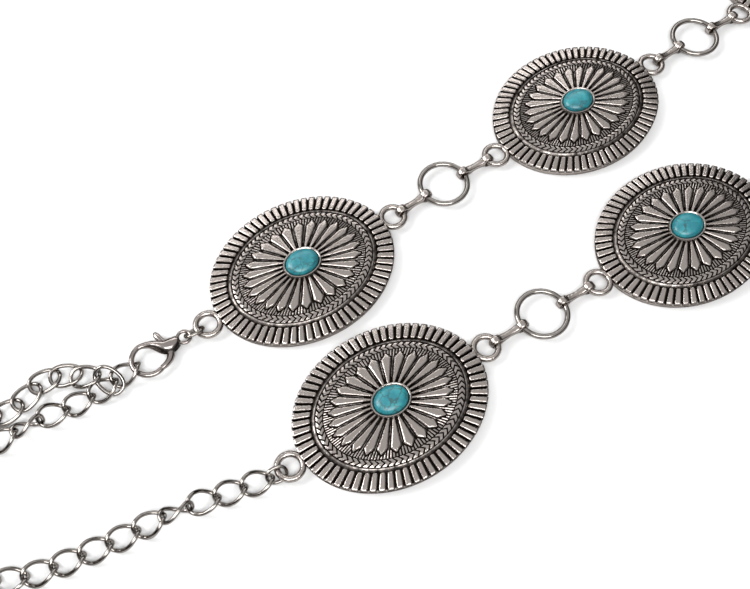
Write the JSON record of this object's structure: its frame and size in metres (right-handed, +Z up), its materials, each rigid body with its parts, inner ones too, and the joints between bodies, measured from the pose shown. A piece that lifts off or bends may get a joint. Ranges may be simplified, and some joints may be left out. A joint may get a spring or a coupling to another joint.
{
  "type": "metal belt",
  "caption": "Metal chain belt of oval ribbed plates with turquoise cabochons, joined by eye links and rings, lying fastened by a lobster clasp on its curb chain",
  "frame": {"origin": "bottom centre of the whole lying belt, on the surface it lies on", "axes": "+X along the two visible strands, away from the clasp end; +Y from the lower strand to the upper one; +Z up"},
  "size_m": [0.437, 0.1288, 0.0086],
  "materials": {
    "cast_silver": "antique silver plate over cast zinc, polished on the high spots",
    "plated_steel": "bright nickel plate",
    "clasp_metal": "antique nickel plate",
    "turquoise": "polished, with dark veins"
  },
  "bodies": {
    "belt": {"concho_1": "cast_silver", "concho_2": "cast_silver", "concho_3": "cast_silver", "concho_4": "cast_silver", "concho_5": "cast_silver", "concho_6": "cast_silver", "concho_7": "cast_silver", "stone_1": "turquoise", "stone_2": "turquoise", "stone_3": "turquoise", "stone_4": "turquoise", "stone_5": "turquoise", "stone_6": "turquoise", "stone_7": "turquoise", "ring_1": "plated_steel", "ring_2": "plated_steel", "ring_3": "plated_steel", "ring_4": "plated_steel", "ring_5": "plated_steel", "ring_6": "plated_steel", "connector_1": "cast_silver", "connector_2": "cast_silver", "connector_3": "cast_silver", "connector_4": "cast_silver", "connector_5": "cast_silver", "connector_6": "cast_silver", "connector_7": "cast_silver", "connector_8": "cast_silver", "connector_9": "cast_silver", "connector_10": "cast_silver", "connector_11": "cast_silver", "connector_12": "cast_silver", "clasp_link": "plated_steel", "chain_link": "plated_steel", "clasp_body": "clasp_metal", "chain": "plated_steel"},
    "lever": {"clasp_lever": "clasp_metal"}
  },
  "joints": [
    {"name": "clasp_lever_hinge", "type": "hinge", "parent": "belt", "child": "lever", "pos_m": [-0.1349, 0.0255, 0.0021], "axis": [0, 0, 1], "range_deg": [-22, 0], "stiffness_Nm_per_rad": 0.01, "springref_deg": 17.19}
  ]
}
